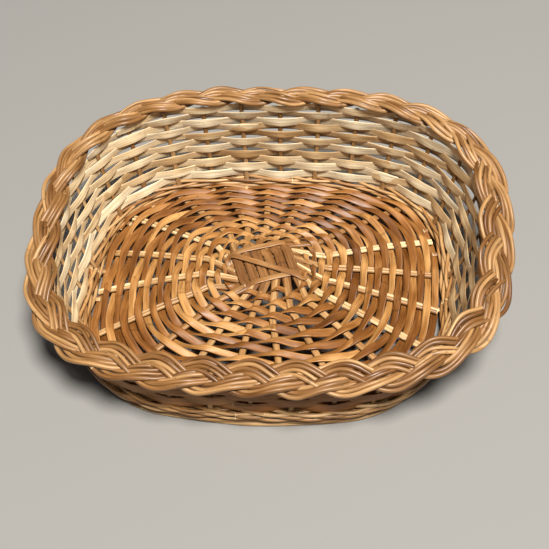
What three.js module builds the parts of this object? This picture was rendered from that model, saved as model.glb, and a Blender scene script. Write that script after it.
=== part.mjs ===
// An oval wicker pet bed, built in the order a basket maker works: a tied cross of base sticks, a floor
// woven on them, side stakes turned up from the floor's edge, a wall of flat split willow woven on the
// stakes, and a three-strand plait for a border. The border is low at the front, where the pet steps in.
// Millimetres, +Z up, +X along the bed, -Y towards its low front. The origin is on the ground, under the
// middle of the border.
import * as THREE from "three";

// ---------------------------------------------------------------- driving dimensions

// An outline is a superellipse: half-length a, half-width b, and a squareness n (2 is an ellipse).
const BORDER = { a: 268, b: 196.3, n: 2.85, cx: 0, cy: 0 }; // middle of the plait
const WALL_TOP = { a: 255, b: 184.5, n: 2.86, cx: 0, cy: 0 }; // stakes where they reach the plait
const WALL_FOOT = { a: 219.5, b: 187, n: 3, cx: -8, cy: -1.5 }; // stakes where they turn up
const FOOT = { a: 223.5, b: 191, n: 2.8, cx: -8, cy: -1.5 }; // rods that the bed stands on
const FLOOR = { a: 210, b: 178, n: 3, cx: -8, cy: -1.5 }; // edge of the woven floor

const BORDER_HEIGHT = 119.6; // middle of the plait above the ground, half way along the sides
const BORDER_RISE = 31.6; // how much higher the plait is at the back, and lower at the front
const BORDER_DISH = 8.8; // extra lift of the plait at the front and the back
const PLAIT_TILT = THREE.MathUtils.degToRad(16); // the plait leans outwards

const STAKES = 30;
const STAKE_RADIUS = 2.75;
const STAKE_TAIL = 8; // length that lies flat at the floor's edge
const STAKE_LEVEL = 14; // height of that tail
const STAKE_TOP_GAP = 9.5; // from the top of a stake to the plait's middle
const STAKE_BEND = 3; // size of the tight bend between the tail and the wall
const STAKE_STEPS = 4; // points up the wall

const WALL_ROWS = 11; // rows of split willow at the back; the upper ones die out towards the front
const WALL_START = 24.5; // height of the lowest strip's lower edge
const ROW_PITCH_FRONT = 10;
const ROW_PITCH_BACK = 11.3;
const STRIP = { width: 9, thickness: 2 };
const STRIP_COVER = 1; // the top strip may reach this far above the end of a stake
const WALL_BELLY = 3; // outward bulge of the wall half way up

const HUB = { x: -9.6, y: 20 }; // middle of the tied cross, behind the middle of the floor
const SLATH_TURN = THREE.MathUtils.degToRad(5); // direction of the lengthwise sticks where they are tied
const STICK = { width: 7, thickness: 5, middleWidth: 10.4, pitch: 12.6 };
// Where the sticks fan out: the ends on each side, the direction of their middle and the angle between two.
const FANS = {
  right: { count: 4, middle: -5, spread: 15.3, layer: -1 },
  back: { count: 6, middle: 85.5, spread: 19.4, layer: 1 },
  left: { count: 4, middle: 180, spread: 18, layer: -1 },
  front: { count: 6, middle: 272.2, spread: 18.3, layer: 1 },
};
const RAY_START = 57; // radius where a stick is back at its own width
const RAY_POINTS = 5; // points from there to the floor's edge
const RAY_END_GAP = 1; // from a stick's end to the floor's edge
const LIFT_INNER = 43; // the two layers of sticks part inside this radius ...
const LIFT_OUTER = 61; // ... and share one level outside this one
const FLOOR_DOME = 20; // rise of the floor's middle above its edge
const FLOOR_LEVEL = 14; // height of the stick ends

const BINDING = { radius: 57, width: 6.4, thickness: 1.6, slack: 3.4 }; // slack: sticks still widen here

const FLOOR_ROWS = 18;
const FIRST_ROW = 67; // radius of the row next to the binding
const LAST_ROW_GAP = 5; // from the last row to the floor's edge
const FLOOR_STRIP = { cover: 0.8, thickness: 1.8 }; // cover: its width as a share of the rows' pitch
const NARROW_STEP = 30; // rows with less than this between rays need a flat over each stick
const STICK_EASE = 0.6; // room that a strip takes at each side of a stick, and above it on a wide row

const ROD_RADIUS = 2.7; // foot and upsett rods
const FOOT_ROD_LEVELS = [ROD_RADIUS * Math.cos(Math.PI / 6), 7.6]; // the lower rod's flat lies at zero
const FOOT_ROD_SWAY = 2.5; // how far a foot rod swings in, behind every third stake
const UPSETT_LEVEL = 20.8;

const PLAIT_PERIODS = 10; // each strand goes from edge to edge and back this many times
const PLAIT_SWING = 15.2; // sideways swing of a strand's middle
const PLAIT_SKEW = 0.2; // a strand crosses outwards faster than it comes back in
const PLAIT_DEPTH = 6; // its swing through the thickness
const STRAND = { width: 14, thickness: 7.5 };
const STRAND_STEPS = 12; // points in a period

const GAP = 0.35; // air between pieces that touch
const ROUND_GAP = 0.7; // more air where a rod bends round a stake
const FLAT_GAP = 0.5; // more air where a flat strip bends round one

// ---------------------------------------------------------------- outlines

// Points of a superellipse by their share s of the way round it, counted from +X towards +Y.
function makeOutline({ a, b, n, cx, cy }) {
  const samples = 1440;
  const curve = (t) => {
    const c = Math.cos(t);
    const s = Math.sin(t);
    return new THREE.Vector2(
      cx + a * Math.sign(c) * Math.abs(c) ** (2 / n),
      cy + b * Math.sign(s) * Math.abs(s) ** (2 / n),
    );
  };
  const points = [];
  const run = [0];
  for (let i = 0; i <= samples; i++) {
    points.push(curve((2 * Math.PI * i) / samples));
    if (i > 0) run.push(run[i - 1] + points[i].distanceTo(points[i - 1]));
  }
  return (s) => {
    const want = (s - Math.floor(s)) * run[samples];
    let low = 0;
    let high = samples;
    while (high - low > 1) {
      const middle = (low + high) >> 1;
      if (run[middle] <= want) low = middle;
      else high = middle;
    }
    const share = (want - run[low]) / (run[high] - run[low]);
    return points[low].clone().lerp(points[high], share);
  };
}

const borderAt = makeOutline(BORDER);
const wallTopAt = makeOutline(WALL_TOP);
const wallFootAt = makeOutline(WALL_FOOT);
const footAt = makeOutline(FOOT);

// Unit vector that points out of an outline, in plan.
function outwardAt(outline, s) {
  const step = outline(s + 0.002).sub(outline(s - 0.002));
  return new THREE.Vector3(step.y, -step.x, 0).normalize();
}

function borderHeight(s) {
  const t = borderAt(s).y / BORDER.b;
  return BORDER_HEIGHT + BORDER_RISE * t + BORDER_DISH * t * t;
}

const stakeTop = (s) => borderHeight(s) - STAKE_TOP_GAP;

// The wall's middle surface, where the stakes stand.
function wallAt(s, z) {
  const share = THREE.MathUtils.clamp((z - STAKE_LEVEL) / (stakeTop(s) - STAKE_LEVEL), 0, 1);
  const plan = wallFootAt(s).lerp(wallTopAt(s), share);
  const belly = outwardAt(wallTopAt, s).multiplyScalar(WALL_BELLY * Math.sin(Math.PI * share));
  return new THREE.Vector3(plan.x, plan.y, z).add(belly);
}

// Distance from the hub to the floor's edge in the direction of an angle.
function floorReach(angle) {
  const inside = (radius) => {
    const x = Math.abs(HUB.x + radius * Math.cos(angle) - FLOOR.cx) / FLOOR.a;
    const y = Math.abs(HUB.y + radius * Math.sin(angle) - FLOOR.cy) / FLOOR.b;
    return x ** FLOOR.n + y ** FLOOR.n < 1;
  };
  let near = 0;
  let far = FLOOR.a + FLOOR.b;
  while (far - near > 1e-4) {
    const middle = (near + far) / 2;
    if (inside(middle)) near = middle;
    else far = middle;
  }
  return near;
}

// A point of the floor in polar coordinates round the hub, at a level above the sticks' middle.
function floorPoint(radius, angle, level) {
  const share = radius / floorReach(angle);
  return new THREE.Vector3(
    HUB.x + radius * Math.cos(angle),
    HUB.y + radius * Math.sin(angle),
    FLOOR_LEVEL + FLOOR_DOME * (1 - share * share) + level,
  );
}

// How far the crosswise sticks lie above that level, and the lengthwise ones below it.
function layerLift(radius) {
  const full = (STICK.thickness + GAP) / 2;
  return full * (1 - THREE.MathUtils.smoothstep(radius, LIFT_INNER, LIFT_OUTER));
}

// ---------------------------------------------------------------- sweeping

// Regular outline with `sides` corners; the first side lies flat at the bottom.
function rodSection(width, thickness, sides = 6) {
  const corners = [];
  for (let i = 0; i < sides; i++) {
    const angle = -Math.PI / 2 + (Math.PI * (2 * i + 1)) / sides;
    corners.push(new THREE.Vector2((Math.cos(angle) * width) / 2, (Math.sin(angle) * thickness) / 2));
  }
  return corners;
}

const stripSection = (width, thickness) => [
  new THREE.Vector2(width / 2, -thickness / 2),
  new THREE.Vector2(width / 2, thickness / 2),
  new THREE.Vector2(-width / 2, thickness / 2),
  new THREE.Vector2(-width / 2, -thickness / 2),
];

// Carries a section along points. `ups` says which way the section's y axis faces at each point, and
// `widths` scales its x axis. A closed sweep is a ring; an open one has flat ends.
function sweep({ points, ups, section, widths, closed = false }) {
  const count = points.length;
  const sides = section.length;
  const corners = [];
  points.forEach((point, i) => {
    const before = closed ? points[(i + count - 1) % count] : points[Math.max(i - 1, 0)];
    const after = closed ? points[(i + 1) % count] : points[Math.min(i + 1, count - 1)];
    const along = after.clone().sub(before).normalize();
    const across = ups[i].clone().cross(along).normalize();
    const up = along.clone().cross(across);
    const wide = widths ? widths[i] : 1;
    for (const corner of section)
      corners.push(
        point.clone().addScaledVector(across, corner.x * wide).addScaledVector(up, corner.y),
      );
  });
  const faces = [];
  for (let i = 0; i < (closed ? count : count - 1); i++) {
    const here = i * sides;
    const next = ((i + 1) % count) * sides;
    for (let j = 0; j < sides; j++) {
      const k = (j + 1) % sides;
      faces.push(here + j, here + k, next + k, here + j, next + k, next + j);
    }
  }
  if (!closed) {
    const last = (count - 1) * sides;
    for (let j = 1; j < sides - 1; j++) {
      faces.push(0, j + 1, j);
      faces.push(last, last + j, last + j + 1);
    }
  }
  const geometry = new THREE.BufferGeometry().setFromPoints(corners);
  geometry.setIndex(faces);
  geometry.computeVertexNormals();
  return geometry;
}

const up = () => new THREE.Vector3(0, 0, 1);

// ---------------------------------------------------------------- the basket

const basket = new THREE.Group();

function willow(color, roughness) {
  return new THREE.MeshStandardMaterial({ color, roughness, metalness: 0 });
}
const STICK_WILLOW = willow(0xb0793c, 0.6);
const BINDING_WILLOW = willow(0xc48e54, 0.55);
const FLOOR_WILLOW = willow(0xc08243, 0.6);
const ROD_WILLOW = willow(0xcf9c5c, 0.45);
const STAKE_WILLOW = willow(0xb88448, 0.5);
const WALL_WILLOW = willow(0xd6ab6e, 0.6);
const PLAIT_WILLOW = willow(0xcb9350, 0.4);

function add(name, geometry, material) {
  const mesh = new THREE.Mesh(geometry, material);
  mesh.name = name;
  basket.add(mesh);
}

const number = (i) => String(i + 1).padStart(2, "0");

// The sticks' ends round the floor, counted from the right-hand fan towards the back.
const rays = Object.values(FANS).flatMap(({ count, middle, spread, layer }) =>
  Array.from({ length: count }, (_, i) => ({
    angle: THREE.MathUtils.degToRad(middle + (i - (count - 1) / 2) * spread),
    layer,
  })),
);

// Base sticks: four lengthwise and six crosswise, parallel where they cross and fanned out to the edge.
function baseStick(ahead, behind, along, tiedHalf, place) {
  const { count, layer } = ahead;
  const shift = (place - (count - 1) / 2) * STICK.pitch;
  const tied = (reach) => {
    const x = reach * Math.cos(along) - shift * Math.sin(along);
    const y = reach * Math.sin(along) + shift * Math.cos(along);
    return { radius: Math.hypot(x, y), angle: Math.atan2(y, x) };
  };
  // The free stretch on a ray, from the slath to the floor's edge.
  const ray = (fan, end) => {
    const angle = THREE.MathUtils.degToRad(fan.middle + (end - (count - 1) / 2) * fan.spread);
    const tip = floorReach(angle) - RAY_END_GAP;
    return Array.from({ length: RAY_POINTS }, (_, i) => ({
      radius: THREE.MathUtils.lerp(RAY_START, tip, i / (RAY_POINTS - 1)),
      angle,
    }));
  };
  const crossing = [tied(-tiedHalf), tied(0), tied(tiedHalf)];
  const plan = [...ray(behind, count - 1 - place).reverse(), ...crossing, ...ray(ahead, place)];
  const wide = STICK.middleWidth / STICK.width;
  return sweep({
    points: plan.map(({ radius, angle }) => floorPoint(radius, angle, layer * layerLift(radius))),
    ups: plan.map(up),
    section: rodSection(STICK.width, STICK.thickness),
    widths: plan.map((point) => (crossing.includes(point) ? wide : 1)),
  });
}

// Half the width of a bundle of tied sticks, which is how far the other bundle runs straight.
const bundleHalf = (fan) => (fan.count * STICK.pitch) / 2;

for (let i = 0; i < FANS.right.count; i++) {
  const stick = baseStick(FANS.right, FANS.left, SLATH_TURN, bundleHalf(FANS.back), i);
  add(`base_stick_lengthwise_${i + 1}`, stick, STICK_WILLOW);
}
for (let i = 0; i < FANS.back.count; i++) {
  const stick = baseStick(FANS.back, FANS.front, SLATH_TURN + Math.PI / 2, bundleHalf(FANS.right), i);
  add(`base_stick_crosswise_${i + 1}`, stick, STICK_WILLOW);
}

// Two points that carry a strip flat across the stick at an angle, on one side of it.
function acrossStick(angle, radius, level, stickWidth) {
  const half = Math.atan((stickWidth / 2 + STICK_EASE) / radius);
  return [angle - half, angle + half].map((beside) => floorPoint(radius, beside, level));
}

// Binding of the cross: over the crosswise sticks, under the lengthwise ones.
function slathBinding() {
  const clear = layerLift(BINDING.radius) + (STICK.thickness + BINDING.thickness) / 2 + 2 * GAP;
  const stickWidth = STICK.width + BINDING.slack;
  const points = rays.flatMap(({ angle, layer }) =>
    acrossStick(angle, BINDING.radius, layer * clear, stickWidth),
  );
  const section = stripSection(BINDING.width, BINDING.thickness);
  return sweep({ points, ups: points.map(up), section, closed: true });
}
add("slath_binding", slathBinding(), BINDING_WILLOW);

// Floor: two split weavers chase each other outwards in a spiral, over one stick and under the next.
// They start on opposite sides of the binding and end on opposite sides of the edge.
function floorWeaver(which) {
  const points = [];
  const widths = [];
  const halfTurn = rays.length / 2;
  const first = -which * halfTurn;
  const clear = (STICK.thickness + FLOOR_STRIP.thickness) / 2 + GAP;
  for (let i = first; i <= first + (FLOOR_ROWS + 1) * halfTurn; i++) {
    const { angle, layer } = rays[(i + rays.length) % rays.length];
    const share = ((2 * i) / rays.length + which) / (FLOOR_ROWS + 1);
    const woven = floorReach(angle) - LAST_ROW_GAP - FIRST_ROW;
    const radius = FIRST_ROW + share * woven;
    const side = (i + which) % 2 === 0 ? 1 : -1;
    const level = layer * layerLift(radius) + side * clear;
    if (((2 * Math.PI) / rays.length) * radius < NARROW_STEP) {
      points.push(...acrossStick(angle, radius, level, STICK.width));
      widths.push(woven, woven);
    } else {
      points.push(floorPoint(radius, angle, level + side * STICK_EASE));
      widths.push(woven);
    }
  }
  const section = stripSection(FLOOR_STRIP.cover / (FLOOR_ROWS + 1), FLOOR_STRIP.thickness);
  return sweep({ points, ups: points.map(up), section, widths });
}
add("floor_weaver_1", floorWeaver(0), FLOOR_WILLOW);
add("floor_weaver_2", floorWeaver(1), FLOOR_WILLOW);

const stakePlace = (i) => (i + 0.5) / STAKES;

// Foot: two rods worked round under the bend of the stakes; the bed stands on the lower one.
FOOT_ROD_LEVELS.forEach((level, rod) => {
  const points = [];
  for (let i = 0; i < STAKES; i++) {
    const s = stakePlace(i);
    const sway = (i + rod) % 3 === 0 ? -FOOT_ROD_SWAY : 0;
    const plan = footAt(s);
    points.push(new THREE.Vector3(plan.x, plan.y, level).addScaledVector(outwardAt(footAt, s), sway));
  }
  const section = rodSection(2 * ROD_RADIUS, 2 * ROD_RADIUS);
  add(`foot_rod_${rod + 1}`, sweep({ points, ups: points.map(up), section, closed: true }), ROD_WILLOW);
});

// Upsett: a rod round the stakes just above the bend, in front of two and behind one.
function upsettRod() {
  const points = [];
  for (let i = 0; i < STAKES; i++) {
    const s = stakePlace(i);
    const clear = STAKE_RADIUS + ROD_RADIUS + GAP + ROUND_GAP;
    const side = i % 3 === 0 ? -1 : 1;
    points.push(wallAt(s, UPSETT_LEVEL).addScaledVector(outwardAt(wallFootAt, s), side * clear));
  }
  const section = rodSection(2 * ROD_RADIUS, 2 * ROD_RADIUS);
  return sweep({ points, ups: points.map(up), section, closed: true });
}
add("upsett_rod", upsettRod(), ROD_WILLOW);

// Side stakes: a short tail at the floor's edge, a tight bend, and up the wall to the plait.
function sideStake(s) {
  const out = outwardAt(wallFootAt, s);
  const foot = wallAt(s, STAKE_LEVEL);
  const top = stakeTop(s);
  const points = [
    foot.clone().addScaledVector(out, -STAKE_TAIL),
    foot.clone().addScaledVector(out, -STAKE_BEND),
    wallAt(s, STAKE_LEVEL + STAKE_BEND),
  ];
  for (let i = 0; i < STAKE_STEPS; i++) {
    const share = i / (STAKE_STEPS - 1);
    points.push(wallAt(s, THREE.MathUtils.lerp(STAKE_LEVEL + 2 * STAKE_BEND, top, share)));
  }
  const along = new THREE.Vector3(-out.y, out.x, 0);
  const section = rodSection(2 * STAKE_RADIUS, 2 * STAKE_RADIUS);
  return sweep({ points, ups: points.map(() => along), section });
}
for (let i = 0; i < STAKES; i++) add(`side_stake_${number(i)}`, sideStake(stakePlace(i)), STAKE_WILLOW);

// Wall rows: flat split willow, in front of one stake and behind the next.
function rowHeight(row, s) {
  const back = (borderAt(s).y / BORDER.b + 1) / 2;
  return WALL_START + (row + 0.5) * THREE.MathUtils.lerp(ROW_PITCH_FRONT, ROW_PITCH_BACK, back);
}

function wallRow(row) {
  const fits = (i) => {
    const s = stakePlace(i);
    return rowHeight(row, s) + STRIP.width / 2 < stakeTop(s) + STRIP_COVER;
  };
  // Stake 0 is at the +X end, and the highest stakes are a quarter of the way round, at the back.
  const highest = Math.floor(STAKES / 4);
  let first = highest;
  let last = highest;
  while (fits((first - 1 + STAKES) % STAKES) && highest - first < STAKES / 2) first--;
  while (fits((last + 1) % STAKES) && last - first < STAKES - 1) last++;
  const closed = last - first === STAKES - 1;
  const points = [];
  const ups = [];
  for (let i = first; i <= last; i++) {
    const s = stakePlace((i + STAKES) % STAKES);
    const side = (i + row + STAKES) % 2 === 0 ? 1 : -1;
    const clear = STAKE_RADIUS + STRIP.thickness / 2 + GAP + FLAT_GAP;
    const z = rowHeight(row, s);
    const out = outwardAt(wallTopAt, s);
    points.push(wallAt(s, z).addScaledVector(out, side * clear));
    ups.push(wallAt(s, z + STRIP.width / 2).sub(wallAt(s, z - STRIP.width / 2)).normalize());
  }
  const section = stripSection(STRIP.thickness, STRIP.width);
  return sweep({ points, ups, section, closed });
}
for (let row = 0; row < WALL_ROWS; row++) add(`wall_weaver_${number(row)}`, wallRow(row), WALL_WILLOW);

// Border: a plait of three strands that lies along the top of the wall and leans outwards.
function plaitStrand(strand) {
  const points = [];
  const ups = [];
  const count = PLAIT_PERIODS * STRAND_STEPS;
  for (let i = 0; i < count; i++) {
    const s = i / count;
    const turn = 2 * Math.PI * (PLAIT_PERIODS * s + strand / 3);
    const out = outwardAt(borderAt, s);
    const across = out.clone().multiplyScalar(Math.cos(PLAIT_TILT));
    across.z = -Math.sin(PLAIT_TILT);
    const face = out.clone().multiplyScalar(Math.sin(PLAIT_TILT));
    face.z = Math.cos(PLAIT_TILT);
    const plan = borderAt(s);
    points.push(
      new THREE.Vector3(plan.x, plan.y, borderHeight(s))
        .addScaledVector(across, PLAIT_SWING * (Math.sin(turn) + PLAIT_SKEW * Math.sin(2 * turn)))
        .addScaledVector(face, -PLAIT_DEPTH * Math.sin(2 * turn)),
    );
    ups.push(face);
  }
  return sweep({ points, ups, section: rodSection(STRAND.width, STRAND.thickness), closed: true });
}
for (let strand = 0; strand < 3; strand++)
  add(`border_strand_${strand + 1}`, plaitStrand(strand), PLAIT_WILLOW);

export default basket;
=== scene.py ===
# %% [markdown]
# # A woven willow pet bed
# The bed is an oval willow basket with a low front. A basket is one idea repeated: a length of willow goes
# in front of one stick and behind the next. So this file works out paths, and one Geometry Nodes tree turns
# every path into willow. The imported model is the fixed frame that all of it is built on.

# %% Load the frame
import math

import bpy
import numpy as np
from mathutils import Matrix, Vector


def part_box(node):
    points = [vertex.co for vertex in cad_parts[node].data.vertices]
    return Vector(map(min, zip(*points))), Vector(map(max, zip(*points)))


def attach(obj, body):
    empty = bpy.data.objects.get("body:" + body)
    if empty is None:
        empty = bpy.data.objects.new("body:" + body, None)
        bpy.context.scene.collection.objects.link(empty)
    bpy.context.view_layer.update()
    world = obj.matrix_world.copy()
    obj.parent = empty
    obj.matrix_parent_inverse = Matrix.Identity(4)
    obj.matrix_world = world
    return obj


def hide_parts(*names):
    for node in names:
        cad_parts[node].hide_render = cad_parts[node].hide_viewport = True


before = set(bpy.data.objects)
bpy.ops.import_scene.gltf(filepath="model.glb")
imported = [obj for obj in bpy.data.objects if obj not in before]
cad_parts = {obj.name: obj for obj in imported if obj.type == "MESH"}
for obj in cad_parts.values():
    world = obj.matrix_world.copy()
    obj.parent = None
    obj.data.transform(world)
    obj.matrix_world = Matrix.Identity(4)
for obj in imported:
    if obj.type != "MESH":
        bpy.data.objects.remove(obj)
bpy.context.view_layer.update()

MM = 0.001

# %% [markdown]
# ## Outlines
# Seen from above, every ring of the basket is a superellipse, which is squarer than an ellipse. A path
# needs points that are evenly spaced along the ring, so the outline is walked once and read by share of
# its length. The half-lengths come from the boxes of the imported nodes.

# %% Superellipse outlines
def box_of(*nodes):
    corners = np.array([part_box(node) for node in nodes])
    return corners[:, 0].min(0), corners[:, 1].max(0)


def outline(half, squareness, centre=(0, 0)):
    """Gives the point at each share of the way round, counted from +X towards +Y."""
    turn = np.linspace(0, 2 * np.pi, 1441)
    cos, sin = np.cos(turn), np.sin(turn)
    x = centre[0] + half[0] * np.sign(cos) * np.abs(cos) ** (2 / squareness)
    y = centre[1] + half[1] * np.sign(sin) * np.abs(sin) ** (2 / squareness)
    run = np.concatenate([[0], np.cumsum(np.hypot(np.diff(x), np.diff(y)))])
    run /= run[-1]

    def at(share):
        share = np.mod(share, 1)
        return np.stack([np.interp(share, run, x), np.interp(share, run, y)], -1)

    return at


def outward(ring, share):
    """Unit vectors that point out of the ring, level with the ground."""
    step = ring(share + 0.002) - ring(share - 0.002)
    normal = np.stack([step[..., 1], -step[..., 0], np.zeros_like(step[..., 0])], -1)
    return normal / np.linalg.norm(normal, axis=-1, keepdims=True)


PLAIT_REACH = 21.2 * MM  # from the plait's middle line to its edge
plait_low, plait_high = box_of("border_strand_1", "border_strand_2", "border_strand_3")
plait_half = (plait_high - plait_low)[:2] / 2 - PLAIT_REACH
plait_ring = outline(plait_half, squareness=2.85)
wall_top_ring = outline(plait_half - np.array([13, 11.8]) * MM, squareness=2.86)

FOOT_ROD_RADIUS = 2.7 * MM
foot_low, foot_high = box_of("foot_rod_1", "foot_rod_2")
foot_centre = ((foot_low + foot_high) / 2)[:2]
foot_half = (foot_high - foot_low)[:2] / 2 - FOOT_ROD_RADIUS
foot_ring = outline(foot_half, 2.8, foot_centre)
wall_foot_ring = outline(foot_half - 4 * MM, 3, foot_centre)  # the wall starts inside the foot
floor_half = foot_half - 8.5 * MM
print("plait half-lengths", np.round(plait_half, 4), "foot half-lengths", np.round(foot_half, 4))

# %% [markdown]
# ## Heights
# The plait is low at the front, where the pet steps in, and high at the back. Everything in the wall hangs
# on that line. The wall leans outwards from the foot to the plait, with a slight belly.

# %% The plait's height and the wall's surface
PLAIT_SIDE_HEIGHT = 119.6 * MM
PLAIT_RISE = 31.6 * MM
PLAIT_DISH = 8.8 * MM
STAKE_LEVEL = 14 * MM
WALL_TOP_GAP = 9.5 * MM  # from the top of the wall to the plait's middle
WALL_BELLY = 3 * MM


def plait_height(share):
    back = plait_ring(share)[..., 1] / plait_half[1]
    return PLAIT_SIDE_HEIGHT + PLAIT_RISE * back + PLAIT_DISH * back * back


def wall_point(share, height, out=0.0):
    """A point on the wall's middle surface, or that far outside it."""
    top = plait_height(share) - WALL_TOP_GAP
    lift = np.clip((height - STAKE_LEVEL) / (top - STAKE_LEVEL), 0, 1)[..., None]
    plan = wall_foot_ring(share) * (1 - lift) + wall_top_ring(share) * lift
    point = np.concatenate([plan, np.asarray(height)[..., None] + 0 * lift], -1)
    belly = WALL_BELLY * np.sin(np.pi * lift) + np.asarray(out)[..., None]
    return point + outward(wall_top_ring, share) * belly


# %% [markdown]
# ## Camera
# The camera looks down at the bed from the front, a little from the right, and is turned slightly, as a
# hand-held one is. A long lens keeps the oval from spreading.

# %% Camera
CAMERA_TARGET = Vector((-0.0029, 0.0368, 0))
CAMERA_DISTANCE = 1.501
CAMERA_AZIMUTH = math.radians(10.09)
CAMERA_ELEVATION = math.radians(48.88)
CAMERA_ROLL = math.radians(-6.0)

camera = bpy.data.objects.new("camera", bpy.data.cameras.new("camera"))
bpy.context.scene.collection.objects.link(camera)
camera.data.lens = 76.95
camera.data.sensor_width = 36
back = Vector((
    math.sin(CAMERA_AZIMUTH) * math.cos(CAMERA_ELEVATION),
    -math.cos(CAMERA_AZIMUTH) * math.cos(CAMERA_ELEVATION),
    math.sin(CAMERA_ELEVATION),
))
aim = back.to_track_quat("Z", "Y").to_matrix().to_4x4()
place = Matrix.Translation(CAMERA_TARGET + back * CAMERA_DISTANCE)
camera.matrix_world = place @ aim @ Matrix.Rotation(CAMERA_ROLL, 4, "Z")
bpy.context.scene.camera = camera
print("camera at", np.round(camera.matrix_world.translation, 3))

# %% [markdown]
# ## Floor and light
# The bed stands on a plain pale floor. One large soft light stands high in front, a little to the right, so
# the back and left of the wall are bright inside and the right is in shade. A weak lamp in front and the
# sky fill the shadows.

# %% Floor, lights and colour
STUDIO_REACH = 30
floor_mesh = bpy.data.meshes.new("studio_floor")
corners = [(x * STUDIO_REACH, y * STUDIO_REACH, 0) for x, y in ((-1, -1), (1, -1), (1, 1), (-1, 1))]
floor_mesh.from_pydata(corners, [], [(0, 1, 2, 3)])
studio_floor = bpy.data.objects.new("studio_floor", floor_mesh)
bpy.context.scene.collection.objects.link(studio_floor)

floor_paint = bpy.data.materials.new("floor_paint")
floor_paint.use_nodes = True
paint = floor_paint.node_tree.nodes["Principled BSDF"].inputs
paint["Base Color"].default_value = (0.2, 0.196, 0.187, 1)
paint["Roughness"].default_value = 0.85
floor_mesh.materials.append(floor_paint)


def soft_light(name, towards, distance, size, power, colour):
    """A round lamp that stands in a direction from the bed and faces it."""
    light = bpy.data.lights.new(name, "AREA")
    light.shape = "DISK"
    light.size = size
    light.energy = power
    light.color = colour
    lamp = bpy.data.objects.new(name, light)
    direction = Vector(towards).normalized()
    facing = direction.to_track_quat("Z", "Y").to_matrix().to_4x4()
    lamp.matrix_world = Matrix.Translation(direction * distance) @ facing
    bpy.context.scene.collection.objects.link(lamp)


soft_light("key_light", (0.2, -0.32, 0.93), distance=6.0, size=1.8, power=940, colour=(1, 0.96, 0.9))
soft_light("fill_light", (0.1, -0.7, 0.7), distance=3.0, size=2.0, power=3, colour=(0.95, 0.97, 1))
sky = bpy.data.worlds.new("sky")
bpy.context.scene.world = sky
sky.use_nodes = True
sky.node_tree.nodes["Background"].inputs["Color"].default_value = (0.92, 0.95, 1, 1)
sky.node_tree.nodes["Background"].inputs["Strength"].default_value = 0.075
bpy.context.scene.view_settings.view_transform = "Standard"
print("lights:", ", ".join(item.name for item in bpy.data.lights))


# %% [markdown]
# ## Building node trees
# Node trees are easier to read as text when each line makes one node and says what feeds it. This helper
# does that for shader trees and for Geometry Nodes trees.

# %% A small helper for node trees
class Tree:
    def __init__(self, tree):
        self.tree = tree

    def add(self, kind, feeds=None, **settings):
        """Makes a node. A feed gives an input, by name or place, a value or another node's socket."""
        node = self.tree.nodes.new(kind)
        for key, value in settings.items():
            setattr(node, key, value)
        for key, value in (feeds or {}).items():
            socket = node.inputs[key]
            if isinstance(value, bpy.types.NodeSocket):
                self.tree.links.new(value, socket)
            else:
                socket.default_value = value
        return node

    def math(self, operation, *values):
        return self.add("ShaderNodeMath", dict(enumerate(values)), operation=operation).outputs[0]

    def vector(self, operation, *values, scale=None):
        feeds = dict(enumerate(values))
        if scale is not None:
            feeds["Scale"] = scale
        node = self.add("ShaderNodeVectorMath", feeds, operation=operation)
        return node.outputs[1 if operation == "DOT_PRODUCT" else 0]

    def rescale(self, value, low, high, new_low, new_high):
        """Maps one range of values onto another, and holds what lies outside it."""
        feeds = {0: value, 1: low, 2: high, 3: new_low, 4: new_high}
        return self.add("ShaderNodeMapRange", feeds).outputs[0]

    def mix(self, factor, first, second, blend_type="MIX"):
        feeds = {"Factor": factor, 6: first, 7: second}
        return self.add("ShaderNodeMix", feeds, data_type="RGBA", blend_type=blend_type).outputs[2]


# %% [markdown]
# ## Patterns of willow
# Willow's grain runs along each length in fine streaks, and its tone drifts from end to end. Peeling leaves
# brown flecks, and there is a dark ring where a bud grew. All of it could be painted, but noise that is
# stretched along the length does it for every length at once. The noise reads attributes that the weaving
# tree stores: how far along a length a point is, where it is in the section, and the length's own tone.

# %% Grain, flecks and bud rings
def grain(tree, found, across, lengthwise, detail):
    """Noise that is fine across the grain and long with it, and differs from one length to the next."""
    wide = tree.vector("SCALE", found["section"], scale=across)
    far = tree.math("MULTIPLY", found["along"], lengthwise)
    where = tree.vector("ADD", wide, tree.add("ShaderNodeCombineXYZ", {"Z": far}).outputs[0])
    feeds = {"Vector": where, "W": found["own"], "Scale": 1.0, "Detail": detail}
    return tree.add("ShaderNodeTexNoise", feeds, noise_dimensions="4D").outputs["Fac"]


def willow_patterns(tree):
    """Sockets for everything that changes over a length of willow."""
    found = {}
    for label, output in (("tone", "Fac"), ("along", "Fac"), ("to_end", "Fac"), ("section", "Vector")):
        found[label] = tree.add("ShaderNodeAttribute", attribute_name=label).outputs[output]
    found["own"] = tree.math("MULTIPLY", found["tone"], 40.0)
    found["streaks"] = grain(tree, found, across=1100, lengthwise=28, detail=3.0)
    found["mottle"] = grain(tree, found, across=120, lengthwise=22, detail=2.0)
    found["patches"] = grain(tree, found, across=30, lengthwise=6, detail=1.0)
    flecks = grain(tree, found, across=420, lengthwise=160, detail=1.0)
    found["flecks"] = tree.rescale(flecks, 0.68, 0.78, 0.0, 0.75)
    buds = {"X": tree.math("MULTIPLY", found["along"], 26), "Y": found["own"]}
    buds = {"Vector": tree.add("ShaderNodeCombineXYZ", buds).outputs[0], "Scale": 1.0}
    buds = tree.add("ShaderNodeTexVoronoi", buds, voronoi_dimensions="2D").outputs["Distance"]
    found["bud_rings"] = tree.rescale(buds, 0.02, 0.07, 1.0, 0.0)
    return found


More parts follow.
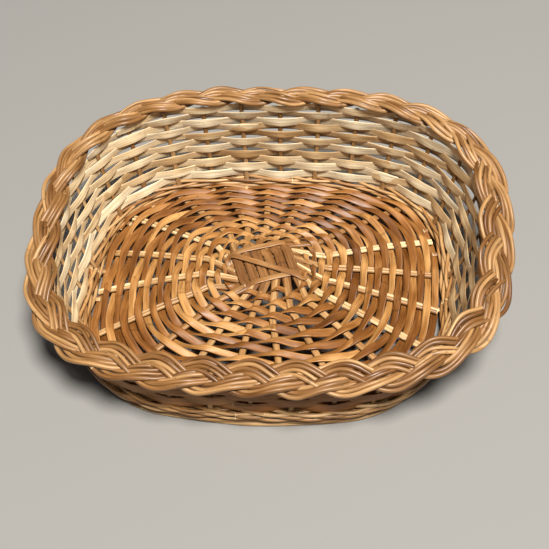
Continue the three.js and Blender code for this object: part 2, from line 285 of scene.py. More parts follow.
# %% [markdown]
# ## Colours of willow
# Willow is pale cream where it was split, and golden or orange where the rod was boiled before it was
# peeled. Three tones, from dark to light, describe a finish, and each length takes its own place between
# them. A split rod has a dark skin side and a pale heart side, and a cut end shows pith.

# %% Colour of a finish
STREAK_DARKNESS = 0.5
BUD_RING_DARKNESS = 0.35
PITH = (0.72, 0.55, 0.33, 1)


def willow_colour(tree, found, dark, middle, light, skin):
    # The tone of this length, with slow changes along it.
    own_tone = tree.math("MULTIPLY", found["tone"], 0.62)
    shade = tree.math("ADD", own_tone, tree.math("MULTIPLY", found["patches"], 0.55))
    drift = tree.math("MULTIPLY", tree.math("SUBTRACT", found["mottle"], 0.5), 1.1)
    shade = tree.math("SUBTRACT", tree.math("ADD", shade, drift), 0.08)
    ramp = tree.add("ShaderNodeValToRGB", {"Fac": shade})
    tones = ramp.color_ramp.elements
    tones[0].position = 0.12
    tones[0].color = (*dark, 1)
    tones[1].position = 0.88
    tones[1].color = (*light, 1)
    tones.new(0.5).color = (*middle, 1)

    fine = tree.rescale(found["streaks"], 0.3, 0.62, 1.0 - STREAK_DARKNESS, 1.08)
    colour = tree.mix(1.0, ramp.outputs["Color"], fine, "MULTIPLY")

    # The skin side faces along X in the section.
    if skin is not None:
        side = tree.add("ShaderNodeSeparateXYZ", {0: found["section"]}).outputs["X"]
        side = tree.rescale(side, -0.1 * MM, 0.1 * MM, 0.0, 1.0)
        colour = tree.mix(side, colour, (*skin, 1), "MULTIPLY")

    rings = tree.math("MULTIPLY", found["bud_rings"], BUD_RING_DARKNESS)
    brown = tuple(part * 0.32 for part in dark) + (1,)
    colour = tree.mix(tree.math("MAXIMUM", rings, found["flecks"]), colour, brown)
    cut_end = tree.rescale(found["to_end"], 0.2 * MM, 0.8 * MM, 1.0, 0.0)
    return tree.mix(cut_end, colour, PITH)


# %% [markdown]
# ## Willow finishes
# A finish is a colour with the grain as a slight relief, under a thin gloss that handling leaves. The wall
# is the palest, the floor is orange, and the border is a deep golden brown.

# %% The finishes
FINISHES = {}


def willow(name, dark, middle, light, shine=0.2, roughness=0.5, skin=None):
    """Makes a finish of three tones and files it under its name."""
    material = bpy.data.materials.new(name)
    material.use_nodes = True
    tree = Tree(material.node_tree)
    shader = material.node_tree.nodes["Principled BSDF"]
    found = willow_patterns(tree)
    relief = tree.math("MULTIPLY", found["streaks"], 0.6)
    for pattern in ("bud_rings", "mottle"):
        relief = tree.math("ADD", relief, tree.math("MULTIPLY", found[pattern], 0.8))
    bump = tree.add("ShaderNodeBump", {"Height": relief, "Strength": 0.55, "Distance": 0.6 * MM})
    looks = {
        "Base Color": willow_colour(tree, found, dark, middle, light, skin),
        "Roughness": tree.rescale(found["mottle"], 0.3, 0.7, roughness - 0.1, roughness + 0.12),
        "Normal": bump.outputs[0],
    }
    for label, socket in looks.items():
        material.node_tree.links.new(socket, shader.inputs[label])
    shader.inputs["Specular IOR Level"].default_value = 0.3
    shader.inputs["Coat Weight"].default_value = shine
    shader.inputs["Coat Roughness"].default_value = 0.28
    FINISHES[name] = material


willow("border_willow", (0.11, 0.042, 0.01), (0.225, 0.106, 0.033), (0.4, 0.225, 0.09),
       shine=0.18, roughness=0.45)
willow("wall_willow", (0.52, 0.32, 0.14), (0.8, 0.6, 0.34), (0.93, 0.81, 0.57),
       shine=0.1, skin=(0.42, 0.24, 0.12))
willow("stake_willow", (0.22, 0.105, 0.033), (0.36, 0.2, 0.08), (0.5, 0.32, 0.15))
willow("floor_willow", (0.11, 0.036, 0.006), (0.235, 0.092, 0.02), (0.46, 0.24, 0.078),
       shine=0.06, roughness=0.47)
willow("base_stick_willow", (0.11, 0.04, 0.01), (0.2, 0.085, 0.024), (0.3, 0.15, 0.05))
willow("ray_willow", (0.26, 0.125, 0.04), (0.43, 0.25, 0.1), (0.7, 0.51, 0.28), shine=0.25)
willow("ray_stick_willow", (0.2, 0.09, 0.026), (0.33, 0.17, 0.058), (0.5, 0.31, 0.14))
willow("binding_willow", (0.15, 0.06, 0.018), (0.26, 0.12, 0.038), (0.4, 0.23, 0.09))
willow("rod_willow", (0.18, 0.075, 0.02), (0.33, 0.165, 0.055), (0.5, 0.31, 0.14))
print("finishes:", ", ".join(FINISHES))


# %% [markdown]
# ## Sections
# A section is the shape of willow across its grain. A whole rod is round. A skein, which is a rod split in
# three and shaved, has one flat face and one slightly rounded. A base stick is flattened, with a groove
# down its middle. Each section is drawn once as a closed loop, and a length is swept with it later.

# %% Round, split and flattened sections
GROOVE_SHARE = 0.16  # width of a stick's groove as a share of the stick


def section_loop(name, width, thickness, corners, squareness=2.0, flat=1.0, groove=0.0):
    """A closed loop of edges, with its thickness along X and its width along Y.
    flat squeezes the half that faces away, and groove pulls the middle in by that share."""
    turn = 2 * np.pi * (np.arange(corners) + 0.5) / corners
    cos, sin = np.cos(turn), np.sin(turn)
    wide = width / 2 * np.sign(sin) * np.abs(sin) ** (2 / squareness)
    thick = thickness / 2 * np.sign(cos) * np.abs(cos) ** (2 / squareness)
    middle = np.exp(-((wide / (GROOVE_SHARE * width)) ** 2))
    thick = np.where(thick < 0, thick * flat, thick) * (1 - groove * middle)
    mesh = bpy.data.meshes.new(name)
    edges = [(i, (i + 1) % corners) for i in range(corners)]
    mesh.from_pydata([(x, y, 0) for x, y in zip(thick.tolist(), wide.tolist())], edges, [])
    loop = bpy.data.objects.new(name, mesh)
    bpy.context.scene.collection.objects.link(loop)
    return loop


FLOOR_SKEIN_WIDTH = 9 * MM
SECTIONS = {
    "plait_rod": section_loop("plait_rod", 5.5 * MM, 5.9 * MM, 12),
    "stake_rod": section_loop("stake_rod", 3.8 * MM, 6.4 * MM, 12),
    "foot_rod": section_loop("foot_rod", 2 * FOOT_ROD_RADIUS, 2 * FOOT_ROD_RADIUS, 14),
    "wale_rod": section_loop("wale_rod", 4.2 * MM, 4.2 * MM, 10),
    "wall_skein": section_loop("wall_skein", 14.6 * MM, 1.7 * MM, 14, squareness=3, flat=0.45),
    "floor_skein": section_loop("floor_skein", FLOOR_SKEIN_WIDTH, 1.9 * MM, 14, squareness=2.8, flat=0.5),
    "binding_skein": section_loop("binding_skein", 8 * MM, 1.8 * MM, 14, squareness=3, flat=0.5),
    "ray_rod": section_loop("ray_rod", 4.3 * MM, 4.8 * MM, 12),
    "ray_stick": section_loop("ray_stick", 8.2 * MM, 4.8 * MM, 14, squareness=2.5),
    "slath_stick": section_loop("slath_stick", 11.6 * MM, 5 * MM, 18, squareness=2.6, groove=0.12),
}


# %% [markdown]
# ## One tree for every length of willow
# The tree takes a guide, which is a chain of points, and makes willow of it. It rounds the chain off with a
# Catmull-Rom spline, spaces its points evenly, and shifts them with a little noise, because no two lengths
# lie alike. Then it sweeps the section along it and stores what the finish needs. Guides carry three
# attributes: up, which is the way the section's thickness faces, breadth, which scales it, and tone.

# %% The weaving tree
def weaving_tree():
    group = bpy.data.node_groups.new("willow_length", "GeometryNodeTree")
    face = group.interface
    face.new_socket("Guide", in_out="INPUT", socket_type="NodeSocketGeometry")
    face.new_socket("Section", in_out="INPUT", socket_type="NodeSocketObject")
    for label, value in (("Step", 3 * MM), ("Wobble", 0.4 * MM), ("Wobble Size", 60 * MM)):
        face.new_socket(label, in_out="INPUT", socket_type="NodeSocketFloat").default_value = value
    face.new_socket("Seed", in_out="INPUT", socket_type="NodeSocketInt")
    face.new_socket("Finish", in_out="INPUT", socket_type="NodeSocketMaterial")
    face.new_socket("Willow", in_out="OUTPUT", socket_type="NodeSocketGeometry")
    tree = Tree(group)
    given = tree.add("NodeGroupInput").outputs

    def named(label, kind):
        node = tree.add("GeometryNodeInputNamedAttribute", {"Name": label}, data_type=kind)
        return node.outputs["Attribute"]

    # An even, rounded curve through the guide's points.
    curve = tree.add("GeometryNodeMeshToCurve", {"Mesh": given["Guide"]}).outputs[0]
    curve = tree.add("GeometryNodeCurveSplineType", {"Curve": curve}, spline_type="CATMULL_ROM").outputs[0]
    feeds = {"Curve": curve, "Length": given["Step"]}
    curve = tree.add("GeometryNodeResampleCurve", feeds, mode="LENGTH").outputs[0]

    # Wobble: noise that differs from one length to the next.
    own = tree.math("ADD", tree.math("MULTIPLY", named("tone", "FLOAT"), 91.7), given["Seed"])
    feeds = {
        "Vector": tree.add("GeometryNodeInputPosition").outputs[0],
        "W": own,
        "Scale": tree.math("DIVIDE", 1.0, given["Wobble Size"]),
        "Detail": 1.0,
    }
    noise = tree.add("ShaderNodeTexNoise", feeds, noise_dimensions="4D").outputs["Color"]
    centred = tree.vector("SUBTRACT", noise, (0.5, 0.5, 0.5))
    shift = tree.vector("SCALE", centred, scale=tree.math("MULTIPLY", given["Wobble"], 4.0))
    curve = tree.add("GeometryNodeSetPosition", {"Geometry": curve, "Offset": shift}).outputs[0]

    # The section's thickness faces up, square to the path.
    tangent = tree.add("GeometryNodeInputTangent").outputs[0]
    up = named("up", "FLOAT_VECTOR")
    lean = tree.vector("SCALE", tangent, scale=tree.vector("DOT_PRODUCT", up, tangent))
    normal = tree.vector("NORMALIZE", tree.vector("SUBTRACT", up, lean))
    feeds = {"Curve": curve, "Normal": normal}
    curve = tree.add("GeometryNodeSetCurveNormal", feeds, mode="FREE").outputs[0]

    # What the finish reads.
    along = tree.add("GeometryNodeSplineParameter").outputs["Length"]
    whole = tree.add("GeometryNodeSplineLength").outputs["Length"]
    to_end = tree.math("MINIMUM", along, tree.math("SUBTRACT", whole, along))
    for label, value in (("along", along), ("to_end", to_end)):
        feeds = {"Geometry": curve, "Name": label, "Value": value}
        curve = tree.add("GeometryNodeStoreNamedAttribute", feeds, data_type="FLOAT").outputs[0]

    # The section, swept along the curve.
    loop = tree.add("GeometryNodeObjectInfo", {"Object": given["Section"]}).outputs["Geometry"]
    loop = tree.add("GeometryNodeMeshToCurve", {"Mesh": loop}).outputs[0]
    feeds = {"Geometry": loop, "Name": "section", "Value": tree.add("GeometryNodeInputPosition").outputs[0]}
    loop = tree.add("GeometryNodeStoreNamedAttribute", feeds, data_type="FLOAT_VECTOR").outputs[0]
    feeds = {"Curve": curve, "Profile Curve": loop, "Scale": named("breadth", "FLOAT"), "Fill Caps": True}
    mesh = tree.add("GeometryNodeCurveToMesh", feeds).outputs[0]
    mesh = tree.add("GeometryNodeSetShadeSmooth", {"Geometry": mesh}).outputs[0]
    mesh = tree.add("GeometryNodeRealizeInstances", {"Geometry": mesh}).outputs[0]
    mesh = tree.add("GeometryNodeSetMaterial", {"Geometry": mesh, "Material": given["Finish"]}).outputs[0]
    tree.add("NodeGroupOutput", {"Willow": mesh})
    return group


WEAVING = weaving_tree()


# %% [markdown]
# ## From guides to pieces
# A piece is a set of lengths. The lengths become one mesh of edges with their attributes, the tree runs on
# it once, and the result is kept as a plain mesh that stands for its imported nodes.

# %% Making a piece
dice = np.random.default_rng(7)


def length(points, up, breadth=1.0, tone=None):
    """One length of willow: its path, the way its thickness faces, its scale and its tone from 0 to 1."""
    points = np.asarray(points, float)
    return {
        "points": points,
        "up": np.broadcast_to(np.asarray(up, float), points.shape),
        "breadth": np.broadcast_to(np.asarray(breadth, float), len(points)),
        "tone": np.full(len(points), dice.random() if tone is None else tone),
    }


GUIDE_FIELDS = (
    ("up", "FLOAT_VECTOR", "vector"),
    ("breadth", "FLOAT", "value"),
    ("tone", "FLOAT", "value"),
)


def guide_mesh(name, lengths):
    """All lengths of a piece as one mesh of edges, with what the weaving tree reads on its points."""
    mesh = bpy.data.meshes.new(name)
    edges = []
    start = 0
    for one in lengths:
        count = len(one["points"])
        edges += [(start + i, start + i + 1) for i in range(count - 1)]
        start += count
    mesh.from_pydata(np.concatenate([one["points"] for one in lengths]).tolist(), edges, [])
    for label, kind, field in GUIDE_FIELDS:
        values = np.concatenate([one[label] for one in lengths]).astype(np.float32)
        mesh.attributes.new(label, kind, "POINT").data.foreach_set(field, values.ravel())
    return mesh


def weave(
    name, lengths, section, finish, nodes,
    step=3 * MM, wobble=0.4 * MM, wobble_size=60 * MM, seed=1,
):
    """Runs the weaving tree on the lengths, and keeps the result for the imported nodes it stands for."""
    guide = bpy.data.objects.new(name + "_guide", guide_mesh(name + "_guide", lengths))
    bpy.context.scene.collection.objects.link(guide)
    modifier = guide.modifiers.new("willow", "NODES")
    modifier.node_group = WEAVING
    values = {
        "Section": SECTIONS[section],
        "Step": step,
        "Wobble": wobble,
        "Wobble Size": wobble_size,
        "Seed": seed,
        "Finish": FINISHES[finish],
    }
    for item in WEAVING.interface.items_tree:
        if item.in_out == "INPUT" and item.name in values:
            modifier[item.identifier] = values[item.name]
    evaluated = guide.evaluated_get(bpy.context.evaluated_depsgraph_get())
    mesh = bpy.data.meshes.new_from_object(evaluated)
    mesh.name = name
    bpy.data.objects.remove(guide)
    piece = bpy.data.objects.new(name, mesh)
    bpy.context.scene.collection.objects.link(piece)
    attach(piece, "root")
    if nodes:
        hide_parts(*nodes)
    print(f"{name}: {len(lengths)} lengths, {len(mesh.polygons)} faces")


# %% [markdown]
# ## The floor's plan
# The floor is woven round a hub that lies a little behind its middle. Ten sticks cross there, four
# lengthwise and six crosswise, and their ends fan out to the floor's edge. By the hub the rows go closely
# round the cross, and by the edge they take the floor's outline, so each is placed by its share of the way
# between the two. The floor is domed, so that the bed stands on its rim and not on its middle.

# %% Hub, reach and rays
HUB = np.array([-9.6, 20]) * MM
FLOOR_LEVEL = 14 * MM
FLOOR_DOME = 20 * MM
FLOOR_SQUARENESS = 3
SLATH_TURN = math.radians(20)
SLATH_PITCH = 12.8 * MM
LENGTHWISE_HALF = 6 * SLATH_PITCH / 2  # half the slath's length, and half its breadth
CROSSWISE_HALF = 4 * SLATH_PITCH / 2
RAY_START = 74 * MM  # radius outside which a stick points away from the hub
# Ends on each side: how many, direction of the middle one and angle between two, in degrees, and layer.
FANS = {
    "right": (4, -5, 15.3, -1),
    "back": (6, 85.5, 19.4, 1),
    "left": (4, 180, 18, -1),
    "front": (6, 272.2, 18.3, 1),
}
LAYER_LIFT = 2.7 * MM  # half the distance between the layers, in the slath
LIFT_INNER = 40 * MM  # the layers part inside this radius and meet outside the next
LIFT_OUTER = 62 * MM


def floor_reach(angle):
    """Distance from the hub to the floor's edge, found by halving."""
    angle = np.asarray(angle, float)
    near, far = np.zeros_like(angle), np.full_like(angle, 0.5)
    for _ in range(30):
        middle = (near + far) / 2
        x = np.abs(HUB[0] + middle * np.cos(angle) - foot_centre[0]) / floor_half[0]
        y = np.abs(HUB[1] + middle * np.sin(angle) - foot_centre[1]) / floor_half[1]
        inside = x**FLOOR_SQUARENESS + y**FLOOR_SQUARENESS < 1
        near, far = np.where(inside, middle, near), np.where(inside, far, middle)
    return near


def floor_point(radius, angle, level=0.0):
    share = radius / floor_reach(angle)
    height = FLOOR_LEVEL + FLOOR_DOME * (1 - share**2) + level
    return np.stack([HUB[0] + radius * np.cos(angle), HUB[1] + radius * np.sin(angle), height], -1)


def fan_angles(side):
    count, middle, spread, _ = FANS[side]
    return np.radians(middle + (np.arange(count) - (count - 1) / 2) * spread)


def layer_lift(radius):
    """The two layers of sticks part towards the hub, with a smooth step."""
    t = np.clip((radius - LIFT_INNER) / (LIFT_OUTER - LIFT_INNER), 0, 1)
    return LAYER_LIFT * (1 - t * t * (3 - 2 * t))


def stick_shifts(side):
    """Distances of a fan's sticks from the middle one, in the slath."""
    count = FANS[side][0]
    return (np.arange(count) - (count - 1) / 2) * SLATH_PITCH


ray_angles = np.concatenate([fan_angles(side) for side in FANS])
ray_layers = np.concatenate([np.full(FANS[side][0], FANS[side][3]) for side in FANS])
# In the slath the sticks lean: the angle by which each is turned there, and how far out it leaves.
ray_leans, ray_ties = [], []
for quarter, (side, tied_half) in enumerate(zip(FANS, [LENGTHWISE_HALF, CROSSWISE_HALF] * 2)):
    direction = SLATH_TURN + quarter * math.pi / 2
    tied_angles = direction + np.arctan2(stick_shifts(side), tied_half)
    ray_leans += list(np.mod(tied_angles - fan_angles(side) + np.pi, 2 * np.pi) - np.pi)
    ray_ties += list(np.hypot(stick_shifts(side), tied_half))
print("rays at", np.round(np.degrees(ray_angles), 1))

# %% [markdown]
# ## Base sticks
# The tied cross in the middle is called the slath. Its sticks are thick and flattened, and they lean,
# because the tie pulled them round. Past the slath a crosswise stick runs out to the floor's edge broad and
# flat, and a lengthwise one as a pair of pale round rods that show between the rows.

# %% Sticks of the slath and the rays
UP = np.array([0, 0, 1.0])
SLIM_END = 0.6  # breadth of a slath stick where it gives way to its ray
RAY_END_GAP = 3 * MM
RAY_ROD_SHIFT = 2.15 * MM  # from the middle of a pair to each of its rods


def tied_point(along, shift, direction, layer):
    x = along * math.cos(direction) - shift * math.sin(direction)
    y = along * math.sin(direction) + shift * math.cos(direction)
    radius = np.hypot(x, y)
    return floor_point(radius, np.arctan2(y, x), layer * layer_lift(radius))


def ray_points(side, end):
    """A stick's free run, from outside the slath to the floor's edge."""
    angle = fan_angles(side)[end]
    radius = np.linspace(RAY_START, floor_reach(angle) - RAY_END_GAP, 12)
    return floor_point(radius, np.full_like(radius, angle))


def base_stick(way, place, ahead, behind, direction, tied_half):
    """Weaves a stick of the slath and returns the lengths of its two rays."""
    count, _, _, layer = FANS[ahead]
    shift = stick_shifts(ahead)[place]
    tied = [tied_point(reach, shift, direction, layer) for reach in np.linspace(-tied_half, tied_half, 7)]
    front = ray_points(ahead, place)
    rear = ray_points(behind, count - 1 - place)
    breadth = [SLIM_END] + [1.0] * len(tied) + [SLIM_END]
    stick = length(np.array([rear[0], *tied, front[0]]), UP, breadth, 0.25 + 0.5 * dice.random())
    name = f"{way}_{place + 1}"
    weave(
        f"slath_{name}", [stick], "slath_stick", "base_stick_willow", [f"base_stick_{name}"],
        wobble=0.25 * MM,
    )
    rays = []
    sides = (-1, 1) if way == "lengthwise" else (0,)
    for start, run in ((tied[-1], front), (tied[0], rear)):
        onwards = run[-1] - run[0]
        beside = np.array([-onwards[1], onwards[0], 0]) / np.linalg.norm(onwards) * RAY_ROD_SHIFT
        for side in sides:
            rays.append(length(np.array([start + side * beside * 0.5, *(run + side * beside)]), UP))
    return rays


lengthwise_rays = []
for i in range(4):
    lengthwise_rays += base_stick("lengthwise", i, "right", "left", SLATH_TURN, LENGTHWISE_HALF)
crosswise_rays = []
for i in range(6):
    crosswise_rays += base_stick("crosswise", i, "back", "front", SLATH_TURN + math.pi / 2, CROSSWISE_HALF)
for name, rays, section, finish in (
    ("rays_lengthwise", lengthwise_rays, "ray_rod", "ray_willow"),
    ("rays_crosswise", crosswise_rays, "ray_stick", "ray_stick_willow"),
):
    weave(name, rays, section, finish, [], wobble=0.5 * MM)

# %% [markdown]
# ## Binding of the slath
# A flat skein ties the cross. It passes over the six crosswise sticks along one edge, under the lengthwise
# ones, back over the crosswise ones along the other edge, and crosses once more from corner to corner, so
# that it draws a Z on the slath.

# %% Binding
def slath_path(stops):
    """Path through stops given in the slath's own directions, with the level of each, in millimetres."""
    points = []
    for x, y, level in stops:
        turned = SLATH_TURN + math.atan2(y, x)
        points.append(floor_point(math.hypot(x, y) * MM, turned, level * MM))
    return np.array(points)


BACK_EDGE = [(48, 14, -5), (38, 27, 1), (27, 29, 6.4), (12, 29, 6.9), (-12, 30, 6.9), (-27, 30, 6.4)]
LEFT_END = [(-40, 27, 1), (-46, 8, -6.5), (-44, -12, -6.5), (-31, -24, 0)]
FRONT_EDGE = [(-20, -25, 6.2), (-8, -25, 6.9), (12, -25, 6.9), (28, -25, 6.4)]
RIGHT_END = [(38, -22, 1), (46, -8, -6.5), (48, 8, -6.5)]
DIAGONAL = [(-46, 10, -5), (-43, 24, 2), (-36, 25, 8), (-14, 7, 8.4)]
DIAGONAL += [(12, -14, 8.4), (32, -30, 8), (40, -34, 2), (44, -20, -5)]
round_slath = length(slath_path(BACK_EDGE + LEFT_END + FRONT_EDGE + RIGHT_END), UP, tone=0.55)
over_slath = length(slath_path(DIAGONAL), UP, tone=0.4)
tie = [round_slath, over_slath]
weave("slath_tie", tie, "binding_skein", "binding_willow", ["slath_binding"], wobble=0.5 * MM)

# %% [markdown]
# ## Floor weavers
# Two weavers chase each other outwards in a spiral: where one is over a stick, the other is under it. Each
# is many skeins joined end to end, so the colour changes every turn or so. A skein is bent sharply over
# each stick and nearly straight between two, and it rolls a little as it dives.

# %% Floor rows
FLOOR_ROWS = 18
FIRST_ROW_HALF = (50 * MM, 37 * MM)  # the first row goes close round the slath
LAST_ROW_GAP = -1 * MM
STEPS_PER_RAY = 6
FLOOR_SWING = 6.2 * MM
FLOOR_COVER = 1.16  # a skein's width as a share of the pitch of the rows
FIRST_ROW_BREADTH = 0.76
FLOOR_BEND = 0.6  # how sharply a skein bends: 0 is a smooth wave, 1 a zigzag
FLOOR_ROLL = 0.5
SKEIN_RAYS = (9, 19)  # a skein reaches over at least the first number of rays, and fewer than the second
SKEIN_TAIL = 0.45  # how far its ends run past a ray, in rays
END_DROP = 0.5 * MM  # its ends lie that much lower, so that the next skein hides them


def ray_at(u):
    """Angle at a place u counted in rays, which need not be whole."""
    count = len(ray_angles)
    whole = np.floor(u).astype(int)
    here = ray_angles[whole % count] + 2 * np.pi * (whole // count)
    after = ray_angles[(whole + 1) % count] + 2 * np.pi * ((whole + 1) // count)
    return here + (after - here) * (u - whole)


def by_ray(u, values):
    """Reads a value that is known at each ray at places between rays."""
    count = len(values)
    return np.interp(np.mod(u, count), np.arange(count + 1), [*values, values[0]])


def floor_row(u, which):
    """Points of a weaver at places u along its spiral, with the way it faces and its breadth."""
    angle = ray_at(u)
    lean = by_ray(u, ray_leans)
    share = np.clip((2 * u / len(ray_angles) + which) / (FLOOR_ROWS + 1), 0, 1)
    turned = angle + lean - SLATH_TURN
    along = np.abs(np.cos(turned) / FIRST_ROW_HALF[0])
    across = np.abs(np.sin(turned) / FIRST_ROW_HALF[1])
    first_row = (along**FLOOR_SQUARENESS + across**FLOOR_SQUARENESS) ** (-1 / FLOOR_SQUARENESS)
    woven = floor_reach(angle) - LAST_ROW_GAP - first_row
    radius = first_row + share * woven
    tied = by_ray(u, ray_ties)
    angle = angle + lean * np.clip((RAY_START - radius) / (RAY_START - tied), 0, 1)
    wave = np.cos(np.pi * (u + which))
    wave = (1 - FLOOR_BEND) * wave + FLOOR_BEND * np.arcsin(wave) * 2 / np.pi
    level = by_ray(u, ray_layers) * layer_lift(radius) + wave * FLOOR_SWING
    pitch = woven / (FLOOR_ROWS + 1)
    breadth = np.clip(pitch * FLOOR_COVER / FLOOR_SKEIN_WIDTH, 0.6, 1.3)
    narrow_start = np.clip(FIRST_ROW_BREADTH + share * 1.4, 0, 1)
    return floor_point(radius, angle, level), angle, breadth * narrow_start


def floor_weaver(which):
    lengths = []
    half_turn = len(ray_angles) / 2
    start = -half_turn * which
    total = start + (FLOOR_ROWS + 1) * half_turn
    while start < total - 1:
        end = min(start + dice.integers(*SKEIN_RAYS), total)
        u = np.arange(start - SKEIN_TAIL, end + SKEIN_TAIL, 1 / STEPS_PER_RAY)
        points, angle, breadth = floor_row(u, which)
        out = np.stack([np.cos(angle), np.sin(angle), np.zeros_like(angle)], -1)
        roll = FLOOR_ROLL * np.sin(np.pi * (u + which)) + dice.normal(0, 0.1)
        up = UP + out * roll[:, None]
        taper = np.interp(u, [u[0], u[0] + 0.5, u[-1] - 0.5, u[-1]], [0.75, 1, 1, 0.75])
        points = points + np.array([0, 0, -END_DROP]) * (taper[:, None] < 1)
        lengths.append(length(points, up, breadth * taper * dice.uniform(0.78, 1.04)))
        start = end
    return lengths


for which in range(2):
    weave(
        f"floor_skeins_{which + 1}", floor_weaver(which), "floor_skein", "floor_willow",
        [f"floor_weaver_{which + 1}"], step=2.4 * MM, wobble=0.5 * MM, wobble_size=25 * MM, seed=which,
    )

# %% [markdown]
# ## Foot and upsett
# The bed stands on two round rods worked round under the bend of the stakes. Just above the bend, rods are
# waled round the stakes: each passes in front of two and behind one, and three of them take turns. They
# hold the stakes upright before the wall is woven.

# %% Foot rods and waled rods
STAKES = 30
stake_share = (np.arange(STAKES) + 0.5) / STAKES

RING_POINTS = 120
RING_OVERLAP = 0.012  # share of the ring by which two lengths pass each other
FOOT_SWAY = 1.2 * MM
WALE_SWING = 5.2 * MM
WALE_SHIFT = 1.2 * MM
WALE_RISE = 1.6 * MM


def round_ring(points_at, pieces):
    """Splits a ring into a few tapered lengths whose ends lie side by side."""
    lengths = []
    for i in range(pieces):
        first = i / pieces - RING_OVERLAP
        share = np.linspace(first, (i + 1) / pieces + RING_OVERLAP, RING_POINTS // pieces)
        taper = np.interp(np.arange(len(share)), [0, len(share) - 1], [1.08, 0.86])
        lengths.append(length(points_at(share), UP, taper))
    return lengths


def foot_course(rod, level):
    def path(share):
        sway = -FOOT_SWAY * (1 + np.cos(2 * np.pi * (share * STAKES + rod) / 3))
        point = np.concatenate([foot_ring(share), np.full((len(share), 1), level)], -1)
        return point + outward(foot_ring, share) * sway[:, None]
    return path


def wale(phase, level):
    def path(share):
        place = share * STAKES - 0.5 + phase
        swing = -np.cos(2 * np.pi * place / 3) * WALE_SWING + WALE_SHIFT
        height = np.full(len(share), level) + WALE_RISE * np.sin(2 * np.pi * place / 3)
        return wall_point(share, height, swing)
    return path


for rod, level in enumerate((FOOT_ROD_RADIUS, 7.6 * MM)):
    weave(
        f"foot_willow_{rod + 1}", round_ring(foot_course(rod, level), 3), "foot_rod", "rod_willow",
        [f"foot_rod_{rod + 1}"], step=4 * MM, wobble=0.2 * MM, seed=20 + rod,
    )
wale_lengths = []
for course, level in enumerate((15.5 * MM, 20 * MM, 24.5 * MM)):
    for phase in range(3):
        wale_lengths += round_ring(wale(phase + 0.5 * course, level + phase * 0.6 * MM), 4)
weave(
    "upsett_wale", wale_lengths, "wale_rod", "rod_willow", ["upsett_rod"],
    wobble=0.5 * MM, seed=31,
)

# %% [markdown]
# ## Side stakes
# Thirty stout rods turn up at the floor's edge and carry the wall. Each starts flat at the edge, bends
# tightly and leans out to the plait, where it is laid down and plaited in.

# %% Stakes
STAKE_TAIL = np.array([11, 8, 5, 2]) * MM  # points of the part that lies flat
STAKE_BEND = 4 * MM  # height that the bend takes
STAKE_TOP_GAP = 4 * MM  # from a stake's top to the plait's middle
for i, share in enumerate(stake_share):
    share = np.array([share])
    out = outward(wall_foot_ring, share)[0]
    foot = wall_point(share, np.array([STAKE_LEVEL]))[0]
    tail = [foot - out * reach for reach in STAKE_TAIL]
    top = plait_height(share)[0] - STAKE_TOP_GAP
    rise = [wall_point(share, np.array([z]))[0] for z in np.linspace(STAKE_LEVEL + STAKE_BEND, top, 8)]
    side = np.array([-out[1], out[0], 0])
    weave(
        f"stake_{i + 1:02d}", [length(np.array([*tail, *rise]), side, np.linspace(1.05, 0.9, 12))],
        "stake_rod", "stake_willow", [f"side_stake_{i + 1:02d}"], wobble=0.4 * MM, seed=40 + i,
    )

# %% [markdown]
# ## Wall
# Flat split willow is woven round the stakes with its pale split face inwards. It goes in front of one
# stake and behind the next, and the row above does the opposite. The skeins are wider than the rows are
# high, so each covers the edge of its neighbour where they pass between two stakes, and a narrow lens is
# left open over a stake. The upper rows die out under the plait towards the low front.

# %% Wall rows
WALL_ROWS = 11
WALL_START = 29.5 * MM
ROW_PITCH = 10 * MM
PITCH_GAIN = 1.6 * MM  # the rows are that much wider apart at the back
TOP_GAP = 5.5 * MM
SHINGLE = 0.17  # lean of a skein, in radians, where it lies against its neighbours
WEAVE_SWING = 2.8 * MM
SKEIN_TIP = 0.4  # length over which a skein tapers, in stakes
WALL_TAIL = 0.42  # how far its ends run past a stake, in stakes


def row_height(row, share):
    towards_back = (plait_ring(share)[..., 1] / plait_half[1] + 1) / 2
    return WALL_START + (row + 0.5) * (ROW_PITCH + PITCH_GAIN * towards_back)


# How far each row sits too high or too low by each stake, from a turn before the first to a turn after.
JITTER_PLACES = np.arange(-STAKES - 1, 2 * STAKES + 2)
WALL_JITTER = dice.normal(0, 1, (WALL_ROWS, len(JITTER_PLACES)))


def wall_skein(row, first, last):
    """A skein of a row from one stake to another, in stakes, which need not be whole."""
    u = np.arange(first, last, 1 / 8)
    share = (u + 0.5) / STAKES
    wave = np.cos(np.pi * (u + row))
    rise = dice.normal(0, 0.5) * MM + 0.7 * MM * np.interp(u, JITTER_PLACES, WALL_JITTER[row])
    height = np.minimum(row_height(row, share) + rise, plait_height(share) - TOP_GAP)
    point = wall_point(share, height, WEAVE_SWING * wave)
    lean = wall_point(share, height + 4 * MM) - wall_point(share, height - 4 * MM)
    lean /= np.linalg.norm(lean, axis=-1, keepdims=True)
    out = outward(wall_top_ring, share)
    shingle = SHINGLE * np.abs(np.sin(np.pi * u))
    roll = shingle + dice.normal(0, 0.05)
    facing = np.cross(np.cross(lean, out), lean) + lean * roll[:, None]
    taper = np.interp(u, [u[0], u[0] + SKEIN_TIP, u[-1] - SKEIN_TIP, u[-1]], [0.8, 1, 1, 0.8])
    return length(point, facing, dice.uniform(0.86, 1.06) * taper)


def fits(row, i):
    share = np.array([(i + 0.5) / STAKES])
    return row_height(row, share)[0] < plait_height(share)[0] + 1 * MM


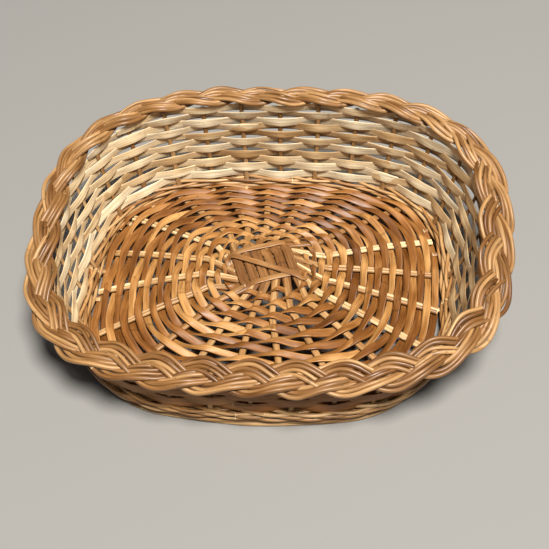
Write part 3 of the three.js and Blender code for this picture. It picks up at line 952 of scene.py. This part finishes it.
def wall_row(row):
    highest = STAKES // 4
    first = last = highest
    while fits(row, first - 1) and highest - first < STAKES / 2:
        first -= 1
    while fits(row, last + 1) and last - first < STAKES - 1:
        last += 1
    if last - first == STAKES - 1:
        last += 1
    # Each skein but the last reaches over an even number of stakes, so the joints lie on one side.
    lengths = []
    start = first
    while start < last:
        end = min(start + 2 * dice.integers(4, 7), last)
        if last - end < 3:
            end = last
        lengths.append(wall_skein(row, start - WALL_TAIL, end + WALL_TAIL))
        start = end
    return lengths


for row in range(WALL_ROWS):
    number = f"{row + 1:02d}"
    weave(
        f"wall_skeins_{number}", wall_row(row), "wall_skein", "wall_willow", [f"wall_weaver_{number}"],
        wobble=0.5 * MM, wobble_size=35 * MM, seed=80 + row,
    )

# %% [markdown]
# ## Border
# The border is a plait of three strands, and each strand is four rods lying side by side. A strand leaves
# an edge on top, crosses over its neighbour, and arrives at the other edge underneath. It crosses outwards
# quickly and sweeps back in slowly, which gives the border its long outer curves. The rods are bent-over
# stakes, so each runs for a few turns, and its tip ends where its strand lies deepest.

# %% Plait
PLAIT_PERIODS = 10
PLAIT_SWING = 11.4 * MM
PLAIT_SKEW = 0.2  # a strand crosses faster one way than the other
PLAIT_FLATNESS = 0.08
PLAIT_SHIFT = 0.6 * MM
PLAIT_DEPTH = 3.6 * MM
PLAIT_TILT = math.radians(16)
HIDDEN_TURN = 0.125  # share of a period at which a strand lies deepest, where rods are joined
JOINTS = ((0, 3), (3, 3), (6, 4))  # the pieces of a rod: first period and number of periods
ROD_OVERLAP = 0.008  # share of the ring by which a piece runs past its joint
RODS = 4
ROD_PITCH = 5.2 * MM
ROD_DELAY = 0.0014  # each rod turns that share of the ring later than the one outside it
ROD_SWAY = 0.5 * MM
ROD_LIFT = 0.7 * MM


def plait_frame(share):
    out = outward(plait_ring, share)
    across = out * math.cos(PLAIT_TILT) - UP * math.sin(PLAIT_TILT)
    face = out * math.sin(PLAIT_TILT) + UP * math.cos(PLAIT_TILT)
    middle = np.concatenate([plait_ring(share), plait_height(share)[..., None]], -1)
    return middle, across, face


def strand_path(share, strand):
    """The middle line of a strand, in the plait's own two directions."""
    turn = 2 * np.pi * (PLAIT_PERIODS * share + strand / 3)
    swing = np.sin(turn) + PLAIT_SKEW * np.sin(2 * turn) + PLAIT_FLATNESS * np.cos(2 * turn)
    swing = PLAIT_SWING * swing + PLAIT_SHIFT
    depth = -PLAIT_DEPTH * np.sin(2 * turn)
    return swing, depth


def plait_rod(strand, lane, first, last):
    share = np.arange(first, last, 1 / (PLAIT_PERIODS * 16))
    middle, across, face = plait_frame(share)
    swing, depth = strand_path(share + ROD_DELAY * (lane - (RODS - 1) / 2), strand)
    # The rods lie side by side and stray a little from their lanes, and every other one lies higher.
    offset = (lane - (RODS - 1) / 2) * ROD_PITCH
    offset = offset + ROD_SWAY * np.sin(2 * np.pi * (share * 23 + lane * 0.37 + strand * 0.2))
    lift = depth + ROD_LIFT * np.cos(2 * np.pi * (share * 17 + lane * 0.5 + strand * 0.31))
    lift = lift + (lane % 2) * 0.8 * MM
    point = middle + across * (swing + offset)[:, None] + face * lift[:, None]
    tip = np.interp(share, [first, first + 0.01, last - 0.012, last], [0.85, 1, 0.9, 0.45])
    return length(point, face, tip * dice.uniform(0.9, 1.08))


for strand in range(3):
    lengths = []
    for lane in range(RODS):
        for crossing, periods in JOINTS:
            begin = (crossing + 3 * lane + strand + HIDDEN_TURN - strand / 3) / PLAIT_PERIODS
            end = begin + periods / PLAIT_PERIODS
            lengths.append(plait_rod(strand, lane, begin - ROD_OVERLAP, end + ROD_OVERLAP))
    weave(
        f"border_rods_{strand + 1}", lengths, "plait_rod", "border_willow",
        [f"border_strand_{strand + 1}"], wobble=0.5 * MM, wobble_size=30 * MM, seed=100 + strand,
    )

# %% [markdown]
# ## Finish
# The section loops were only drawings, so they go.

# %% Clear up and finish
for loop in SECTIONS.values():
    bpy.data.objects.remove(loop)
